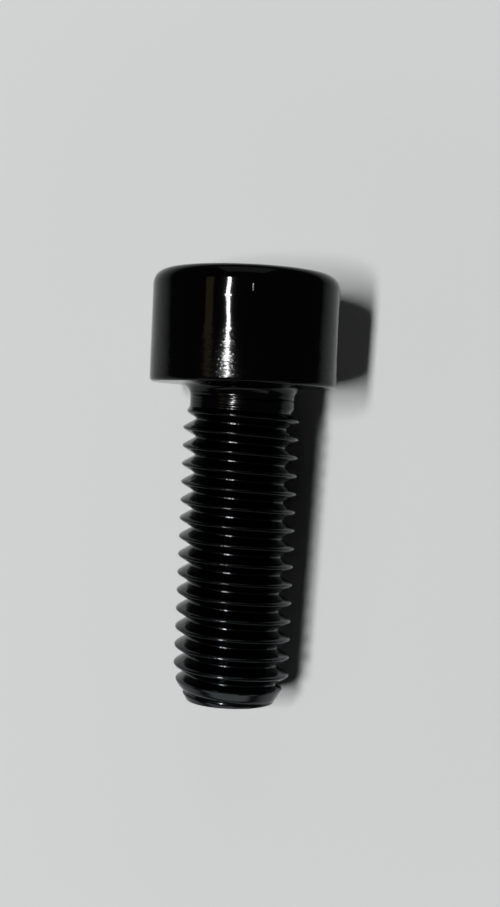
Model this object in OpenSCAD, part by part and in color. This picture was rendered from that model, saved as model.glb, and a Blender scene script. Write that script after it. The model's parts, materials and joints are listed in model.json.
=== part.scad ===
// Connecting rod bolt: a socket head cap screw, M8 x 1.25, that lies on its side.
// It rests on the rim of its head and on the last full turn of its thread, with the
// head towards +Y. The origin is the centre of the bearing face under the head.
// Sizes are in millimetres, and angles are in degrees.

/* [Head] */
// Diameter of the head
head_d = 12.9; // [12:0.1:13.3]
// Height of the head above its bearing face
head_h = 7.7; // [6.8:0.1:9]
// Radius of the rounded edge round the top of the head
head_top_r = 1; // [0.3:0.1:1.8]
// Radius of the small rounded edge round the bearing face
head_rim_r = 0.3; // [0.1:0.05:0.5]

/* [Hexagon socket] */
// Width across the flats of the socket
socket_af = 6.1; // [5:0.05:7]
// Depth of the flats below the top of the head
socket_depth = 4.4; // [3.5:0.1:5]
// Diameter of the chamfer at the mouth of the socket
socket_mouth_d = 7.4; // [7:0.1:9]
// Included angle of the mouth's chamfer
socket_mouth_angle = 120; // [90:5:130]
// Included angle of the drill point at the bottom of the socket
drill_point_angle = 120; // [100:2:140]

/* [Neck] */
// Diameter of the plain neck, which is that of the blank before its thread is rolled
neck_d = 7.2; // [6.9:0.05:7.5]
// Length of the neck, from the bearing face to where the thread starts to rise
neck_length = 1.45; // [1.2:0.05:3]
// Radius of the fillet where the neck meets the head
neck_fillet_r = 0.9; // [0.3:0.1:1.1]

/* [Thread] */
// Diameter across the crests
thread_d = 8; // [7.6:0.05:8.4]
// Distance along the bolt from one crest to the next
pitch = 1.25; // [1:0.05:1.5]
// Which way the thread winds
thread_hand = "left"; // [left, right]
// Width of the flat on each crest
crest_flat = 0.16; // [0.08:0.01:0.3]
// Width of the flat at the bottom of the groove
root_flat = 0.11; // [0.05:0.01:0.3]
// Included angle between the two flanks of the groove
flank_angle = 60; // [56:1:64]
// Length over which the thread rises out of the neck to its full height
runout_length = 0.9; // [0.3:0.1:2]
// Distance from the bearing face to a crest, measured along the -X side of the bolt
crest_offset = 3.03; // [2.5:0.01:4]

/* [Length and tip] */
// Length under the head, from the bearing face to the tip
shank_length = 21.8; // [12:0.2:40]
// Diameter of the flat end of the tip
tip_d = 6.1; // [5:0.1:6.2]
// Angle between the tip's chamfer and the bolt's axis
tip_angle = 30; // [20:1:50]

/* [Hidden] */
oxide = [0.07, 0.075, 0.08];

head_r = head_d / 2;
neck_r = neck_d / 2;
thread_r = thread_d / 2;
tip_r = tip_d / 2;
socket_corner_r = socket_af / 2 / cos(30);

// Cutters reach this far past the faces that they open.
overlap = 0.5;

// The thread's section is a V with a narrow flat at its crest and at its root. Each
// corner is a distance along the bolt from the middle of the crest, and a radius.
thread_depth = (pitch - crest_flat - root_flat) / 2 / tan(flank_angle / 2);
root_r = thread_r - thread_depth;
section = [
    [-crest_flat / 2, thread_r],
    [crest_flat / 2, thread_r],
    [(pitch - root_flat) / 2, root_r],
    [(pitch + root_flat) / 2, root_r],
];
corners = len(section);
steps = 48;

// The blank that the thread is rolled on is this much smaller in radius than the neck,
// and the section's corners stay this far from the blank's two end faces.
blank_step = 0.01;
end_margin = 0.1;
blank_r = neck_r - blank_step;

// How the bolt lies: the line that touches the rim of the head and the corner where the
// last full turn meets the tip's chamfer is level.
chamfer_start = shank_length - (thread_r - tip_r) / tan(tip_angle);
contact_run = chamfer_start + head_rim_r;
contact_rise = head_r - head_rim_r - thread_r;
lying_angle = atan2(contact_rise, contact_run)
    + asin(head_rim_r / norm([contact_run, contact_rise]));

// The bolt is built on the Z axis with its bearing face at z = 0 and its head above
// that. A depth is a distance below the bearing face.

// Radius of the tip's chamfer at a depth.
function chamfer_radius(depth) = tip_r + (shank_length - depth) * tan(tip_angle);

// How far the thread has risen out of the neck at a depth, from 0 to 1.
function rise(depth) =
    let (u = min(1, max(0, (depth - neck_length) / runout_length)))
    u * u * (3 - 2 * u);

// Radius at a depth of a corner whose radius is full_r where the thread is complete.
function corner_radius(depth, full_r) =
    min(chamfer_radius(depth), blank_r + rise(depth) * (full_r - blank_r));

// The section's corners are counted down the bolt from the crest at crest_offset, and a
// step is a part of a turn, counted from the -X side.
function section_corner(i) = section[i - corners * floor(i / corners)];
function corner_depth(step, i) =
    crest_offset + pitch * (step / steps + floor(i / corners)) + section_corner(i)[0];

// The first and the last corner between the blank's end faces at a step.
function first_corner(step, i = -4 * corners) =
    corner_depth(step, i) > neck_length + end_margin ? i : first_corner(step, i + 1);
function last_corner(step, i) =
    corner_depth(step, i + 1) > shank_length - end_margin ? i : last_corner(step, i + 1);

// The points down the thread at a step: one on the upper end face, one for each corner
// and one on the flat end of the tip.
function thread_points(step, first, last) =
    let (angle = 180 + 360 * step / steps)
    [
        for (p = concat(
            [[neck_length, blank_r]],
            [for (i = [first : last])
                let (depth = corner_depth(step, i))
                [depth, corner_radius(depth, section_corner(i)[1])]],
            [[shank_length, tip_r]]
        )) [p[1] * cos(angle), p[1] * sin(angle), -p[0]]
    ];

module head() {
    rotate_extrude($fn = 96) {
        square([head_r - head_top_r, head_h]);
        square([head_r - head_rim_r, head_h - head_top_r]);
        translate([0, head_rim_r])
            square([head_r, head_h - head_top_r - head_rim_r]);
        translate([head_r - head_top_r, head_h - head_top_r])
            circle(head_top_r, $fn = 64);
        translate([head_r - head_rim_r, head_rim_r])
            circle(head_rim_r, $fn = 32);
    }
}

// The hexagon with its chamfered mouth and the drill point that it was broached over.
module socket() {
    mouth_r = socket_mouth_d / 2;
    mouth_depth = mouth_r / tan(socket_mouth_angle / 2);
    mouth_scale = 1 + overlap / mouth_depth;
    drill_r = socket_af / 2;
    drill_depth = drill_r / tan(drill_point_angle / 2);
    translate([0, 0, head_h]) {
        translate([0, 0, -socket_depth])
            rotate([0, 0, 90])
                cylinder(h = socket_depth + overlap, r = socket_corner_r, $fn = 6);
        translate([0, 0, -mouth_depth])
            cylinder(h = mouth_depth + overlap, r1 = 0, r2 = mouth_r * mouth_scale, $fn = 96);
        translate([0, 0, -socket_depth - drill_depth])
            cylinder(h = drill_depth, r1 = 0, r2 = drill_r, $fn = 96);
    }
}

// The neck, with its fillet under the head.
module neck() {
    rotate_extrude($fn = 96) {
        translate([0, -neck_length])
            square([neck_r, neck_length]);
        translate([neck_r, -neck_fillet_r])
            difference() {
                square([neck_fillet_r, neck_fillet_r]);
                translate([neck_fillet_r, 0])
                    circle(neck_fillet_r, $fn = 64);
            }
    }
}

// The thread is one helical surface from the neck to the tip. Its points run down the
// bolt at each step, and neighbouring columns of points are joined by triangles.
module thread() {
    firsts = [for (step = [0 : steps - 1]) first_corner(step)];
    lasts = [for (step = [0 : steps - 1]) last_corner(step, firsts[step])];
    columns = [for (step = [0 : steps - 1]) thread_points(step, firsts[step], lasts[step])];
    starts = [for (step = 0, n = 0; step < steps; n = n + len(columns[step]), step = step + 1) n];
    ends = [for (step = [0 : steps - 1]) starts[step] + len(columns[step]) - 1];

    // Equal corners of columns a and b are joined by two triangles, and triangles close
    // the strip at both ends. After a full turn a corner is one pitch further down, so
    // where b is the first column again its corners are counted from one pitch up.
    walls = [
        for (a = [0 : steps - 1])
            let (
                b = (a + 1) % steps,
                turn = b == 0 ? corners : 0,
                low = firsts[a],
                high = lasts[b] - turn,
                at_a = starts[a] + 1 - firsts[a],
                at_b = starts[b] + 1 - firsts[b] + turn
            )
            each concat(
                [[starts[a], starts[b], at_a + low]],
                [for (i = [starts[b] : 1 : at_b + low - 1]) [i, i + 1, at_a + low]],
                [for (i = [low : 1 : high - 1]) [at_a + i, at_b + i, at_a + i + 1]],
                [for (i = [low : 1 : high - 1]) [at_b + i, at_b + i + 1, at_a + i + 1]],
                [[at_b + high, ends[b], at_a + high]],
                [for (i = [at_a + high : 1 : ends[a] - 1]) [i, ends[b], i + 1]]
            )
    ];
    upper_face = [for (step = [steps - 1 : -1 : 0]) starts[step]];
    tip_face = ends;
    mirror([0, thread_hand == "left" ? 0 : 1, 0])
        polyhedron(concat([for (column = columns) each column]), concat(walls, [upper_face, tip_face]));
}

module bolt() {
    color(oxide)
        rotate([lying_angle - 90, 0, 0]) {
            difference() {
                head();
                socket();
            }
            neck();
            thread();
        }
}

bolt();
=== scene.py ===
"""Connecting rod bolt, black oxide steel, lying on a pale floor under a small ceiling lamp."""

import json
import math

import bmesh
import bpy
from mathutils import Euler, Matrix, Vector


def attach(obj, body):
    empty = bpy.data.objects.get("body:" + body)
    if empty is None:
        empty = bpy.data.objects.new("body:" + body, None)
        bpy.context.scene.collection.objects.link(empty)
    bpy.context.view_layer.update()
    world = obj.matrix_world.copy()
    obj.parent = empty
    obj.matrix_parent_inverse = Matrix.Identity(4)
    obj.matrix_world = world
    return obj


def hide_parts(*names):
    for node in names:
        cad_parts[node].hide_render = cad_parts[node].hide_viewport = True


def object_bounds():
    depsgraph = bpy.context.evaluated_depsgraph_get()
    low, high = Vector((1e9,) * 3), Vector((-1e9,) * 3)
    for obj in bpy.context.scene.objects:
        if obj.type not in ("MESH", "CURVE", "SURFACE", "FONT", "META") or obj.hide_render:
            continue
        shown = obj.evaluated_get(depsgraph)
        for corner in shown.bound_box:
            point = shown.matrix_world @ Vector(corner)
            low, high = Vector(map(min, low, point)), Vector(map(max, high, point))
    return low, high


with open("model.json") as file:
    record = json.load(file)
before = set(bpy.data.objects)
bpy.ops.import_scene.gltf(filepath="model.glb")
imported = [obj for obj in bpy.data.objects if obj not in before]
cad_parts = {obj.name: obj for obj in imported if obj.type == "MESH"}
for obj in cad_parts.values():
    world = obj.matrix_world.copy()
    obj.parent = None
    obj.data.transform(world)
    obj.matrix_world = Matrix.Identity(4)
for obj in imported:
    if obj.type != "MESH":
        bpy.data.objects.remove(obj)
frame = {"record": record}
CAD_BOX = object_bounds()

MM = 0.001

# Sizes of the bolt, in millimetres and degrees, as in the part's source.
HEAD_D = 12.9
HEAD_H = 7.7
HEAD_TOP_R = 1.0
HEAD_RIM_R = 0.3
SOCKET_AF = 6.1
SOCKET_DEPTH = 4.4
SOCKET_MOUTH_D = 7.4
SOCKET_MOUTH_ANGLE = 120
DRILL_POINT_ANGLE = 120
NECK_D = 7.2
NECK_LENGTH = 1.45
NECK_FILLET_R = 0.9
THREAD_D = 8.0
PITCH = 1.25
CREST_FLAT = 0.16
ROOT_FLAT = 0.11
FLANK_ANGLE = 60
RUNOUT_LENGTH = 0.9
CREST_OFFSET = 3.03
SHANK_LENGTH = 21.8
TIP_D = 6.1
TIP_ANGLE = 30
HAND = 1  # 1 winds the thread to the left, and -1 to the right

# The rolled thread has soft corners. A flank blends into the crest, or into the root,
# where the two differ in radius by less than this many millimetres.
CREST_ROUNDING = 0.22
ROOT_ROUNDING = 0.02

# How finely the surface is divided.
COLUMNS = 192  # points round the bolt
ROWS_PER_PITCH = 24  # points along one pitch of the thread
ROW_BUNCHING = 0.7  # 0 spaces those points evenly, and 1 heaps them on crests and roots
ARC_STEPS = 10  # faces across each rounded edge
TOP_STEPS = 12  # faces across the top, from the socket's mouth to the rounded edge
SIDE_STEPS = 48  # faces down the side of the head
SEAT_STEPS = 16  # faces across the bearing face
NECK_STEPS = 6  # faces down the neck
WELD = 1e-6  # metres between points that are one point
SLIVER = WELD / 10  # metres, and edges shorter than this are dissolved
CREASE = math.radians(35)  # an edge stays sharp where its faces turn by more than this

# The bolt is made upright, with its axis on Z, its bearing face at z = 0 and its tip
# below. LYING lays it down where the frame has it, with its tip this way.
MOUNTS = {m["name"]: m for m in frame["record"]["mounts"]}
TIPWARD = Vector(MOUNTS["bearing_face"]["axis"]).normalized()
LYING_ANGLE = math.asin(-TIPWARD.z)
LYING = Matrix.Rotation(LYING_ANGLE - math.pi / 2, 4, "X")


def linear(hex_colour):
    """An sRGB hex colour as linear red, green, blue and alpha."""
    parts = [int(hex_colour[i : i + 2], 16) / 255 for i in (1, 3, 5)]
    return [c / 12.92 if c <= 0.04045 else ((c + 0.055) / 1.055) ** 2.4 for c in parts] + [1.0]


def add(tree, kind, inputs=(), **settings):
    """Adds a node with its settings and links.

    An input takes a plain value, a socket, or a node whose first output is meant. None
    leaves it as it is.
    """
    node = tree.nodes.new(kind)
    for name, value in settings.items():
        setattr(node, name, value)
    for key, value in dict(inputs).items():
        if isinstance(value, bpy.types.Node):
            value = value.outputs[0]
        if isinstance(value, bpy.types.NodeSocket):
            tree.links.new(value, node.inputs[key])
        elif value is not None:
            node.inputs[key].default_value = value
    return node


def empty_material(name):
    """A new material with no nodes yet, and its node tree."""
    material = bpy.data.materials.new(name)
    material.use_nodes = True
    material.node_tree.nodes.clear()
    return material, material.node_tree


def put_in_scene(made):
    """Links a new object to the scene."""
    bpy.context.scene.collection.objects.link(made)


# Places, sizes and depths on the metal are in millimetres. A height is that above the
# bearing face, and what goes round the bolt is measured at the thread's crests.
TIP_Z = -SHANK_LENGTH

# Marks in the surface of the metal, each kind a layer of noise with its own detail. Size
# is that of one mark, round and along the bolt. Where the noise is lower than flat_under,
# the metal is flat. A kind fades in between the first two heights and out between the
# last two, and none reaches the flat ends of the head and the tip.
MARKS = (
    {
        "kind": "forged waves", "size": (2.0, 1.6), "detail": 1.0, "depth": 0.022, "flat_under": 0.0,
        "heights": (TIP_Z + 0.1, TIP_Z + 0.4, HEAD_H - 0.6, HEAD_H - 0.1),
    },
    {
        "kind": "pits", "size": (0.5, 0.17), "detail": 2.0, "depth": 0.012, "flat_under": 0.0,
        "heights": (0.1, 0.2, 3.0, 4.1),
    },
    {
        "kind": "specks", "size": (0.17, 0.13), "detail": 1.0, "depth": 0.022, "flat_under": 0.57,
        "heights": (0.1, 0.2, 1.6, 4.0),
    },
    {
        "kind": "tool marks", "size": (5.0, 0.2), "detail": 0.0, "depth": 0.09, "flat_under": 0.0,
        "heights": (-2.0, -1.8, -0.7, -0.4),
    },
    {
        "kind": "ripples", "size": (0.22, 0.9), "detail": 1.0, "depth": 0.015, "flat_under": 0.0,
        "heights": (TIP_Z + 1.2, TIP_Z + 1.9, -2.0, -1.5),
    },
)

# Two small nicks in the upper half of the head. Centre is how far one lies round the bolt
# from its uppermost line, and its height, and reach is half its size each way.
NICKS = (
    {"centre": (0.215, 6.1), "reach": (0.06, 0.5), "depth": 0.025},
    {"centre": (-0.75, 5.5), "reach": (0.24, 0.12), "depth": 0.004},
)

# The oxide's blacks, and the heights between which one gives way to the next. The thread
# is a little less black than the head, and least black at its last turns and the tip.
HEAD_BLACK = "#222222"
THREAD_BLACK = "#28292a"
TIP_BLACK = "#383c3d"
TIP_TO_THREAD = (TIP_Z + 1.3, TIP_Z + 7.8)
THREAD_TO_HEAD = (-2.3, -1.5)

# The roughness of the metal, and the heights over which it changes. The upper half of the
# head is smoother than its pitted half, the neck and the thread.
DULL = 0.15
SMOOTH = 0.07
DULL_TO_SMOOTH = (-1.0, 4.0)

# The tint of what the oiled metal mirrors at a grazing angle.
GRAZING_TINT = "#e8e8e8"

# The sockets where a Mix node takes its two colours, and the one that gives their mixture.
FIRST_COLOUR = 6
SECOND_COLOUR = 7
MIXED_COLOUR = 2


def unroll(tree, at):
    """The bolt's surface as a flat sheet, for patterns.

    X is the way round the bolt from its uppermost line, measured at the thread's crests.
    Y is the height, skewed so that it stays the same along the thread's helix.
    """
    towards_top = add(tree, "ShaderNodeMath", {0: at.outputs["Y"], 1: -1.0}, operation="MULTIPLY")
    turned = add(tree, "ShaderNodeMath", {0: at.outputs["X"], 1: towards_top}, operation="ARCTAN2")
    arc = add(tree, "ShaderNodeMath", {0: turned, 1: THREAD_D / 2 * MM}, operation="MULTIPLY")
    lead = HAND * PITCH * MM / (2 * math.pi)
    helix = add(tree, "ShaderNodeMath", {0: turned, 1: lead, 2: at.outputs["Z"]}, operation="MULTIPLY_ADD")
    return add(tree, "ShaderNodeCombineXYZ", {"X": arc, "Y": helix})


def add_marks(tree, sheet, height, normal, marks):
    """One kind of marks, on top of those that normal has already."""
    around, along = marks["size"]
    starts, full, wanes, ends = marks["heights"]
    stretched = add(
        tree, "ShaderNodeMapping",
        {"Vector": sheet, "Scale": (1 / (around * MM), 1 / (along * MM), 1)},
    )
    noise = add(
        tree, "ShaderNodeTexNoise",
        {"Vector": stretched, "Scale": 1.0, "Detail": marks["detail"]}, noise_dimensions="2D",
    )
    relief = add(tree, "ShaderNodeMath", {0: noise, 1: marks["flat_under"]}, operation="MAXIMUM")
    fade_in = add(
        tree, "ShaderNodeMapRange", {"Value": height, "From Min": starts * MM, "From Max": full * MM},
    )
    fade_out = add(
        tree, "ShaderNodeMapRange", {"Value": height, "From Min": ends * MM, "From Max": wanes * MM},
    )
    share = add(tree, "ShaderNodeMath", {0: fade_in, 1: fade_out}, operation="MULTIPLY")
    return add(
        tree, "ShaderNodeBump",
        {"Height": relief, "Strength": share, "Distance": marks["depth"] * MM, "Normal": normal},
        label=marks["kind"],
    )


def add_nick(tree, sheet, normal, nick):
    """One small oval nick, on top of the marks that normal has already."""
    x, y = nick["centre"]
    reach_x, reach_y = nick["reach"]
    moved = add(
        tree, "ShaderNodeMapping",
        {
            "Vector": sheet,
            "Location": (-x / reach_x, -y / reach_y, 0),
            "Scale": (1 / (reach_x * MM), 1 / (reach_y * MM), 0),
        },
    )
    away = add(tree, "ShaderNodeVectorMath", {0: moved}, operation="LENGTH")
    bowl = add(
        tree, "ShaderNodeMapRange",
        {"Value": away.outputs["Value"], "From Max": 1.0}, interpolation_type="SMOOTHSTEP",
    )
    return add(
        tree, "ShaderNodeBump",
        {"Height": bowl, "Distance": nick["depth"] * MM, "Strength": 1.0, "Normal": normal},
        label="nick",
    )


# Black oxide on alloy steel, dipped and oiled: nearly black, with the sheen of a thin
# film of oil, so it mirrors lamps sharply and the floor only at a grazing angle. The
# lower half of the head is pitted, the neck has tool marks, and the thread is rippled.
def black_oxide_steel():
    material, tree = empty_material("black oxide steel")
    place = add(tree, "ShaderNodeTexCoord")
    upright = add(
        tree, "ShaderNodeMapping",
        {"Vector": place.outputs["Object"], "Rotation": (math.pi / 2 - LYING_ANGLE, 0, 0)},
    )
    at = add(tree, "ShaderNodeSeparateXYZ", {0: upright})
    height = at.outputs["Z"]
    sheet = unroll(tree, at)
    normal = None
    for marks in MARKS:
        normal = add_marks(tree, sheet, height, normal, marks)
    for nick in NICKS:
        normal = add_nick(tree, sheet, normal, nick)

    low, high = DULL_TO_SMOOTH
    roughness = add(
        tree, "ShaderNodeMapRange",
        {"Value": height, "From Min": low * MM, "From Max": high * MM, "To Min": DULL, "To Max": SMOOTH},
    )
    low, high = TIP_TO_THREAD
    above_tip = add(
        tree, "ShaderNodeMapRange", {"Value": height, "From Min": low * MM, "From Max": high * MM},
    )
    lower_black = add(
        tree, "ShaderNodeMix",
        {"Factor": above_tip, FIRST_COLOUR: linear(TIP_BLACK), SECOND_COLOUR: linear(THREAD_BLACK)},
        data_type="RGBA",
    ).outputs[MIXED_COLOUR]
    low, high = THREAD_TO_HEAD
    above_thread = add(
        tree, "ShaderNodeMapRange", {"Value": height, "From Min": low * MM, "From Max": high * MM},
    )
    black = add(
        tree, "ShaderNodeMix",
        {"Factor": above_thread, FIRST_COLOUR: lower_black, SECOND_COLOUR: linear(HEAD_BLACK)},
        data_type="RGBA",
    ).outputs[MIXED_COLOUR]
    shader = add(
        tree, "ShaderNodeBsdfPrincipled",
        {
            "Base Color": black, "Metallic": 1.0, "Specular Tint": linear(GRAZING_TINT),
            "Roughness": roughness, "Normal": normal,
        },
    )
    add(tree, "ShaderNodeOutputMaterial", {"Surface": shader})
    return material


OXIDE = black_oxide_steel()

# The inputs of the thread's tree, with lengths in metres and angles in radians.
THREAD_INPUTS = {
    "Thread diameter": THREAD_D * MM,
    "Pitch": PITCH * MM,
    "Crest flat": CREST_FLAT * MM,
    "Root flat": ROOT_FLAT * MM,
    "Flank angle": math.radians(FLANK_ANGLE),
    "Crest rounding": CREST_ROUNDING * MM,
    "Root rounding": ROOT_ROUNDING * MM,
    "Blank diameter": NECK_D * MM,
    "Neck length": NECK_LENGTH * MM,
    "Runout length": RUNOUT_LENGTH * MM,
    "Crest offset": CREST_OFFSET * MM,
    "Length": SHANK_LENGTH * MM,
    "Tip diameter": TIP_D * MM,
    "Tip angle": math.radians(TIP_ANGLE),
    "Hand": float(HAND),
    "Columns": COLUMNS,
    "Rows per pitch": ROWS_PER_PITCH,
    "Finish": OXIDE,
}

# The socket for each type of input.
SOCKETS = {float: "NodeSocketFloat", int: "NodeSocketInt", bpy.types.Material: "NodeSocketMaterial"}


def thread_rows(tree, size):
    """A flat grid to wind round the bolt, with its points' rows.

    A column is one place round the bolt, and each row follows the helix, so that crests
    and roots stay clean lines. This gives the grid, how much of a turn a point lies
    round the bolt, its row, the last row, and the depth at which its row starts.
    """
    # The grid starts one pitch before the end of the neck and runs past the tip. It has
    # one row more than the turns need, for the middle of the tip.
    threaded = add(tree, "ShaderNodeMath", {0: size["Length"], 1: size["Neck length"]}, operation="SUBTRACT")
    pitches = add(tree, "ShaderNodeMath", {0: threaded, 1: size["Pitch"]}, operation="DIVIDE")
    whole = add(tree, "ShaderNodeMath", {0: pitches}, operation="CEIL")
    turns = add(tree, "ShaderNodeMath", {0: whole, 1: 1.0}, operation="ADD")
    rows = add(
        tree, "ShaderNodeMath", {0: turns, 1: size["Rows per pitch"], 2: 2.0}, operation="MULTIPLY_ADD",
    )
    columns = add(tree, "ShaderNodeMath", {0: size["Columns"], 1: 1.0}, operation="ADD")
    grid = add(
        tree, "GeometryNodeMeshGrid",
        {"Size X": 1.0, "Size Y": 1.0, "Vertices X": columns, "Vertices Y": rows},
    )
    at = add(tree, "ShaderNodeSeparateXYZ", {0: add(tree, "GeometryNodeInputPosition")})
    turn = add(tree, "ShaderNodeMath", {0: at.outputs["X"], 1: 0.5}, operation="ADD")
    share = add(tree, "ShaderNodeMath", {0: at.outputs["Y"], 1: 0.5}, operation="ADD")
    last_row = add(tree, "ShaderNodeMath", {0: rows, 1: 1.0}, operation="SUBTRACT")
    row = add(tree, "ShaderNodeMath", {0: share, 1: last_row}, operation="MULTIPLY")
    row = add(tree, "ShaderNodeMath", {0: row}, operation="ROUND")
    row_pitches = add(tree, "ShaderNodeMath", {0: row, 1: size["Rows per pitch"]}, operation="DIVIDE")
    top = add(tree, "ShaderNodeMath", {0: size["Neck length"], 1: size["Pitch"]}, operation="SUBTRACT")
    even = add(tree, "ShaderNodeMath", {0: row_pitches, 1: size["Pitch"], 2: top}, operation="MULTIPLY_ADD")

    # Rows stand closer together at the crests and at the roots than on the flanks.
    from_crest = add(tree, "ShaderNodeMath", {0: even, 1: size["Crest offset"]}, operation="SUBTRACT")
    spread = add(tree, "ShaderNodeMath", {0: size["Pitch"], 1: 4 * math.pi}, operation="DIVIDE")
    wave = add(tree, "ShaderNodeMath", {0: from_crest, 1: spread}, operation="DIVIDE")
    wave = add(tree, "ShaderNodeMath", {0: wave}, operation="SINE")
    shift = add(tree, "ShaderNodeMath", {0: spread, 1: -ROW_BUNCHING}, operation="MULTIPLY")
    row_depth = add(tree, "ShaderNodeMath", {0: wave, 1: shift, 2: even}, operation="MULTIPLY_ADD")
    return grid, turn, row, last_row, row_depth


def thread_section(tree, size, row_depth):
    """The radius of the full thread on a row: flanks that the crest and the root cut off."""
    half = add(tree, "ShaderNodeMath", {0: size["Pitch"], 1: 0.5}, operation="MULTIPLY")
    minus_half = add(tree, "ShaderNodeMath", {0: size["Pitch"], 1: -0.5}, operation="MULTIPLY")
    from_crest = add(tree, "ShaderNodeMath", {0: row_depth, 1: size["Crest offset"]}, operation="SUBTRACT")
    from_crest = add(tree, "ShaderNodeMath", {0: from_crest, 1: half, 2: minus_half}, operation="WRAP")
    from_crest = add(tree, "ShaderNodeMath", {0: from_crest}, operation="ABSOLUTE")

    half_flank = add(tree, "ShaderNodeMath", {0: size["Flank angle"], 1: 0.5}, operation="MULTIPLY")
    slope = add(tree, "ShaderNodeMath", {0: half_flank}, operation="TANGENT")
    flats = add(tree, "ShaderNodeMath", {0: size["Crest flat"], 1: size["Root flat"]}, operation="ADD")
    flanks = add(tree, "ShaderNodeMath", {0: size["Pitch"], 1: flats}, operation="SUBTRACT")
    flank = add(tree, "ShaderNodeMath", {0: flanks, 1: 0.5}, operation="MULTIPLY")
    thread_depth = add(tree, "ShaderNodeMath", {0: flank, 1: slope}, operation="DIVIDE")
    crest_r = add(tree, "ShaderNodeMath", {0: size["Thread diameter"], 1: 0.5}, operation="MULTIPLY")
    root_r = add(tree, "ShaderNodeMath", {0: crest_r, 1: thread_depth}, operation="SUBTRACT")
    half_crest = add(tree, "ShaderNodeMath", {0: size["Crest flat"], 1: 0.5}, operation="MULTIPLY")
    past_crest = add(tree, "ShaderNodeMath", {0: from_crest, 1: half_crest}, operation="SUBTRACT")
    drop = add(tree, "ShaderNodeMath", {0: past_crest, 1: slope}, operation="DIVIDE")
    radius = add(tree, "ShaderNodeMath", {0: crest_r, 1: drop}, operation="SUBTRACT")
    radius = add(
        tree, "ShaderNodeMath", {0: radius, 1: crest_r, 2: size["Crest rounding"]}, operation="SMOOTH_MIN",
    )
    return add(
        tree, "ShaderNodeMath", {0: radius, 1: root_r, 2: size["Root rounding"]}, operation="SMOOTH_MAX",
    )


def thread_ends(tree, size, depth, full_radius):
    """The radius at a depth, and the radius of the tip's flat end.

    The thread rises out of the blank at its upper end, and the tip's chamfer cuts it off
    at its lower end.
    """
    blank_r = add(tree, "ShaderNodeMath", {0: size["Blank diameter"], 1: 0.5}, operation="MULTIPLY")
    full_at = add(
        tree, "ShaderNodeMath", {0: size["Neck length"], 1: size["Runout length"]}, operation="ADD",
    )
    rise = add(
        tree, "ShaderNodeMapRange",
        {"Value": depth, "From Min": size["Neck length"], "From Max": full_at},
        interpolation_type="SMOOTHSTEP",
    )
    risen = add(tree, "ShaderNodeMix", {"Factor": rise, "A": blank_r, "B": full_radius})
    tip_r = add(tree, "ShaderNodeMath", {0: size["Tip diameter"], 1: 0.5}, operation="MULTIPLY")
    to_tip = add(tree, "ShaderNodeMath", {0: size["Length"], 1: depth}, operation="SUBTRACT")
    taper = add(tree, "ShaderNodeMath", {0: size["Tip angle"]}, operation="TANGENT")
    chamfer_r = add(tree, "ShaderNodeMath", {0: to_tip, 1: taper, 2: tip_r}, operation="MULTIPLY_ADD")
    cut = add(
        tree, "ShaderNodeMath", {0: risen, 1: chamfer_r, 2: size["Crest rounding"]}, operation="SMOOTH_MIN",
    )
    return cut, tip_r


def thread_tree():
    """The rolled thread round the Z axis, from the end of the neck to the middle of the tip."""
    tree = bpy.data.node_groups.new("rolled thread", "GeometryNodeTree")
    for name, value in THREAD_INPUTS.items():
        tree.interface.new_socket(name, in_out="INPUT", socket_type=SOCKETS[type(value)])
    tree.interface.new_socket("Geometry", in_out="OUTPUT", socket_type="NodeSocketGeometry")
    size = add(tree, "NodeGroupInput").outputs

    grid, turn, row, last_row, row_depth = thread_rows(tree, size)
    full_radius = thread_section(tree, size, row_depth)
    wound = add(tree, "ShaderNodeMath", {0: turn, 1: size["Pitch"], 2: row_depth}, operation="MULTIPLY_ADD")
    depth = add(tree, "ShaderNodeClamp", {"Value": wound, "Min": size["Neck length"], "Max": size["Length"]})
    radius, tip_r = thread_ends(tree, size, depth, full_radius)

    # What is past the tip lies on the edge of its flat end, and the last row in its middle.
    past_tip = add(tree, "FunctionNodeCompare", {0: wound, 1: size["Length"]}, operation="GREATER_EQUAL")
    radius = add(
        tree, "GeometryNodeSwitch", {"Switch": past_tip, "False": radius, "True": tip_r}, input_type="FLOAT",
    )
    before_last = add(tree, "ShaderNodeMath", {0: last_row, 1: 0.5}, operation="SUBTRACT")
    in_middle = add(tree, "FunctionNodeCompare", {0: row, 1: before_last}, operation="GREATER_THAN")
    radius = add(
        tree, "GeometryNodeSwitch", {"Switch": in_middle, "False": radius, "True": 0.0}, input_type="FLOAT",
    )

    # Each point goes down to its depth, out to its radius and round from the -X side.
    below = add(tree, "ShaderNodeMath", {0: depth, 1: -1.0}, operation="MULTIPLY")
    point = add(tree, "ShaderNodeCombineXYZ", {"X": radius, "Z": below})
    turned = add(tree, "ShaderNodeMath", {0: turn, 1: 2 * math.pi}, operation="MULTIPLY")
    angle = add(tree, "ShaderNodeMath", {0: turned, 1: size["Hand"], 2: math.pi}, operation="MULTIPLY_ADD")
    point = add(tree, "ShaderNodeVectorRotate", {"Vector": point, "Angle": angle}, rotation_type="Z_AXIS")
    wrapped = add(tree, "GeometryNodeSetPosition", {"Geometry": grid.outputs["Mesh"], "Position": point})
    welded = add(tree, "GeometryNodeMergeByDistance", {"Geometry": wrapped, "Distance": WELD})
    real = add(tree, "GeometryNodeRealizeInstances", {"Geometry": welded})
    finished = add(tree, "GeometryNodeSetMaterial", {"Geometry": real, "Material": size["Finish"]})
    add(tree, "NodeGroupOutput", {"Geometry": finished})
    return tree


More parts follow.
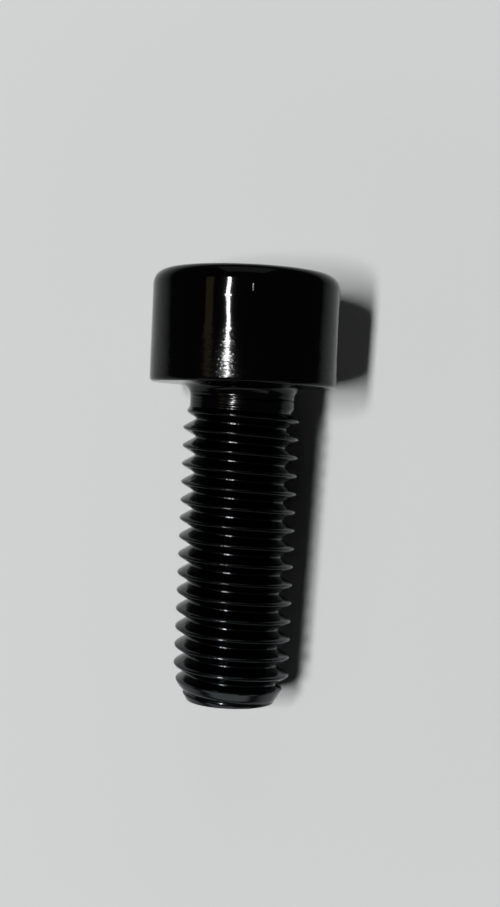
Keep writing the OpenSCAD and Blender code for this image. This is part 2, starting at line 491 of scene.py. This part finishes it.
def thread_mesh():
    """The thread, as a plain mesh in metres."""
    tree = thread_tree()
    holder = bpy.data.objects.new("thread holder", bpy.data.meshes.new("thread holder"))
    put_in_scene(holder)
    modifier = holder.modifiers.new("rolled thread", "NODES")
    modifier.node_group = tree
    for socket in tree.interface.items_tree:
        if socket.in_out == "INPUT":
            modifier[socket.identifier] = THREAD_INPUTS[socket.name]
    evaluated = holder.evaluated_get(bpy.context.evaluated_depsgraph_get())
    mesh = bpy.data.meshes.new_from_object(evaluated)
    holder.modifiers.remove(modifier)
    bpy.data.objects.remove(holder)
    return mesh


def head_rings():
    """The outline of the head, from the bottom of its socket to the end of the neck.

    Each ring is a function of the angle round the bolt that gives a radius and a height.
    """
    across = SOCKET_AF / 2
    mouth_r = SOCKET_MOUTH_D / 2
    mouth_slope = math.tan(math.radians(SOCKET_MOUTH_ANGLE / 2))
    socket_floor = HEAD_H - SOCKET_DEPTH
    drill_point = socket_floor - across / math.tan(math.radians(DRILL_POINT_ANGLE / 2))
    head_r = HEAD_D / 2
    neck_r = NECK_D / 2

    def hexagon(angle):
        """The distance from the axis to the socket's flats at an angle."""
        return across / math.cos((angle - math.pi / 2) % (math.pi / 3) - math.pi / 6)

    # The drill point, the floor of the hexagon, its flats up to the mouth's cone, and the mouth.
    rings = [
        lambda a: (0, drill_point),
        lambda a: (across, socket_floor),
        lambda a: (hexagon(a), socket_floor),
        lambda a: (hexagon(a), HEAD_H - (mouth_r - hexagon(a)) / mouth_slope),
        lambda a: (mouth_r, HEAD_H),
    ]

    def ring(radius, height):
        rings.append(lambda a: (radius, height))

    def run(start, end, count):
        """The rings that divide a straight stretch into so many parts."""
        for i in range(1, count):
            ring(*(s + (e - s) * i / count for s, e in zip(start, end)))

    def arc(centre, radius, start, end):
        """The rings along an arc, with those at both its ends."""
        for i in range(ARC_STEPS + 1):
            angle = math.radians(start + (end - start) * i / ARC_STEPS)
            ring(centre[0] + radius * math.cos(angle), centre[1] + radius * math.sin(angle))

    run((mouth_r, HEAD_H), (head_r - HEAD_TOP_R, HEAD_H), TOP_STEPS)
    arc((head_r - HEAD_TOP_R, HEAD_H - HEAD_TOP_R), HEAD_TOP_R, 90, 0)
    run((head_r, HEAD_H - HEAD_TOP_R), (head_r, HEAD_RIM_R), SIDE_STEPS)
    arc((head_r - HEAD_RIM_R, HEAD_RIM_R), HEAD_RIM_R, 0, -90)
    run((head_r - HEAD_RIM_R, 0), (neck_r + NECK_FILLET_R, 0), SEAT_STEPS)
    arc((neck_r + NECK_FILLET_R, -NECK_FILLET_R), NECK_FILLET_R, 90, 180)
    run((neck_r, -NECK_FILLET_R), (neck_r, -NECK_LENGTH), NECK_STEPS)
    ring(neck_r, -NECK_LENGTH)
    return rings


def head_mesh():
    """The head, its socket and the neck, as a plain mesh in metres."""
    mesh = bmesh.new()
    rings = head_rings()
    columns = []
    for i in range(COLUMNS):
        angle = math.pi + 2 * math.pi * i / COLUMNS
        column = []
        for ring in rings:
            radius, height = ring(angle)
            point = (radius * math.cos(angle) * MM, radius * math.sin(angle) * MM, height * MM)
            column.append(mesh.verts.new(point))
        columns.append(column)
    for i, column in enumerate(columns):
        following = columns[(i + 1) % COLUMNS]
        for j in range(len(column) - 1):
            mesh.faces.new((column[j], column[j + 1], following[j + 1], following[j]))
    made = bpy.data.meshes.new("head")
    mesh.to_mesh(made)
    mesh.free()
    return made


def make_bolt():
    """The whole bolt, welded into one closed surface and laid in its place."""
    whole = bmesh.new()
    for part in (head_mesh(), thread_mesh()):
        whole.from_mesh(part)
        bpy.data.meshes.remove(part)
    bmesh.ops.remove_doubles(whole, verts=whole.verts, dist=WELD)
    bmesh.ops.dissolve_degenerate(whole, edges=whole.edges, dist=SLIVER)
    bmesh.ops.recalc_face_normals(whole, faces=whole.faces)
    whole.transform(LYING)
    mesh = bpy.data.meshes.new("cap_screw")
    whole.to_mesh(mesh)
    whole.free()
    # The thread's faces come with another slot than the head's, and the bolt has only one.
    mesh.materials.append(OXIDE)
    mesh.polygons.foreach_set("material_index", [0] * len(mesh.polygons))
    mesh.shade_smooth()
    mesh.set_sharp_from_angle(angle=CREASE)
    piece = bpy.data.objects.new("cap_screw", mesh)
    put_in_scene(piece)
    return piece


bolt = make_bolt()
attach(bolt, "root")
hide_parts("bolt")

# The floor and the backdrop are the same pale grey.
PALE_GREY = "#d2d5d4"

# The camera sees the backdrop's colour as it is written. The metal mirrors only this
# share of it, as it would mirror a dim room, and the light that comes from it is less.
BACKDROP_IN_METAL = 0.084
BACKDROP_AS_LIGHT = 0.004

# The floor is a square of this size in metres. Between these distances from the bolt's
# middle, in millimetres, it fades into the backdrop, so that no horizon shows.
FLOOR_SIZE = 2.0
FLOOR_FADES = (22, 62)
BOLT_MIDDLE_Y = (CAD_BOX[0][1] + CAD_BOX[1][1]) / 2  # metres, as the frame's box


def backdrop_strength(tree):
    """How bright the backdrop is for the ray that reaches it."""
    path = add(tree, "ShaderNodeLightPath")
    mirrored = add(
        tree, "ShaderNodeMath",
        {0: path.outputs["Is Glossy Ray"], 1: BACKDROP_IN_METAL}, operation="MULTIPLY",
    )
    seen = add(tree, "ShaderNodeMath", {0: path.outputs["Is Camera Ray"], 1: mirrored}, operation="MAXIMUM")
    return add(tree, "ShaderNodeMath", {0: seen, 1: BACKDROP_AS_LIGHT}, operation="MAXIMUM")


# Board painted a matt pale grey, which takes the bolt's shadow and has no gloss. Far from
# the bolt it gives way to the backdrop.
def painted_board():
    material, tree = empty_material("pale painted board")
    place = add(tree, "ShaderNodeTexCoord")
    from_middle = add(
        tree, "ShaderNodeMapping",
        {"Vector": place.outputs["Object"], "Location": (0, -BOLT_MIDDLE_Y, 0), "Scale": (1, 1, 0)},
    )
    away = add(tree, "ShaderNodeVectorMath", {0: from_middle}, operation="LENGTH")
    near, far = FLOOR_FADES
    faded = add(
        tree, "ShaderNodeMapRange",
        {"Value": away.outputs["Value"], "From Min": near * MM, "From Max": far * MM},
        interpolation_type="SMOOTHSTEP",
    )
    paint = add(
        tree, "ShaderNodeBsdfPrincipled",
        {"Base Color": linear(PALE_GREY), "Roughness": 0.9, "Specular IOR Level": 0.0},
    )
    backdrop = add(
        tree, "ShaderNodeEmission", {"Color": linear(PALE_GREY), "Strength": backdrop_strength(tree)},
    )
    board = add(tree, "ShaderNodeMixShader", {0: faded, 1: paint, 2: backdrop})
    add(tree, "ShaderNodeOutputMaterial", {"Surface": board})
    return material


def make_floor():
    """A square of painted board under the bolt."""
    half = FLOOR_SIZE / 2
    height = CAD_BOX[0][2]
    corners = [(x, y, height) for x, y in ((-half, -half), (half, -half), (half, half), (-half, half))]
    mesh = bpy.data.meshes.new("floor")
    mesh.from_pydata(corners, [], [(0, 1, 2, 3)])
    mesh.materials.append(painted_board())
    made = bpy.data.objects.new("floor", mesh)
    put_in_scene(made)
    return made


floor = make_floor()


def hang_backdrop():
    """The pale backdrop all round."""
    world = bpy.data.worlds.new("backdrop")
    world.use_nodes = True
    tree = world.node_tree
    tree.nodes.clear()
    sky = add(
        tree, "ShaderNodeBackground", {"Color": linear(PALE_GREY), "Strength": backdrop_strength(tree)},
    )
    add(tree, "ShaderNodeOutputWorld", {"Surface": sky})
    bpy.context.scene.world = world


hang_backdrop()


def area_lamp(name, colour, direction, distance, size_x, size_y, brightness, lights_floor=True):
    """An area lamp that faces the bolt from this direction, with its size_x square to Y.

    Distance and sizes are in metres. Brightness is that of a white floor under this lamp
    alone, where 1 shows a colour as it is written. A lamp that doesn't light the floor
    is seen by the metal only.
    """
    direction = Vector(direction).normalized()
    light = bpy.data.lights.new(name, "AREA")
    light.color = linear(colour)[:3]
    light.shape = "RECTANGLE"
    light.size = size_x
    light.size_y = size_y
    light.energy = brightness * (math.pi * distance) ** 2 / direction.z
    lamp = bpy.data.objects.new(name, light)
    lamp.visible_camera = False
    lamp.visible_diffuse = lights_floor
    across = Vector((0, 1, 0)).cross(direction).normalized()
    facing = Matrix((across, direction.cross(across), direction)).transposed()
    lamp.matrix_world = Matrix.Translation(direction * distance) @ facing.to_4x4()
    put_in_scene(lamp)


# A small, long ceiling lamp, leaning a little to the left, gives nearly all the light,
# and its image is the streak on the head. Three dim lamps stand for the rest of the room.
LAMP_LEAN = math.radians(20.9)
WHITE = "#ffffff"
WARM_WHITE = "#ffe0b0"
area_lamp(
    "ceiling lamp", WHITE, (-math.sin(LAMP_LEAN), -0.12, math.cos(LAMP_LEAN)),
    distance=1.0, size_x=0.066, size_y=0.38, brightness=0.95,
)
area_lamp(
    "warm wall", WARM_WHITE, (-0.7, -0.08, 0.71),
    distance=0.5, size_x=0.08, size_y=0.2, brightness=0.009,
)
area_lamp(
    "wall beyond the tip", WHITE, (0, -0.99, 0.15),
    distance=0.6, size_x=1.0, size_y=0.15, brightness=0.018, lights_floor=False,
)
area_lamp(
    "window behind the head", WHITE, (-0.02, 0.9, 0.42),
    distance=0.6, size_x=0.45, size_y=0.5, brightness=0.03,
)

# The camera looks almost straight down on the bolt, with the head at the top.
CAMERA_AT = (0.0, -13.277, 87.727)  # millimetres
CAMERA_TURN = (5.554, -0.674, 2.350)  # degrees
LENS = 50.925  # focal length in millimetres
SENSOR_WIDTH = 36  # millimetres
NEAREST_SEEN = 0.001  # metres
FARTHEST_SEEN = 20  # metres


def place_camera():
    """Makes the camera and gives it to the scene."""
    optics = bpy.data.cameras.new("camera")
    optics.lens = LENS
    optics.sensor_width = SENSOR_WIDTH
    optics.clip_start = NEAREST_SEEN
    optics.clip_end = FARTHEST_SEEN
    camera = bpy.data.objects.new("camera", optics)
    camera.location = Vector(CAMERA_AT) * MM
    camera.rotation_euler = Euler([math.radians(a) for a in CAMERA_TURN])
    put_in_scene(camera)
    bpy.context.scene.camera = camera


place_camera()
bpy.context.scene.view_settings.view_transform = "Standard"
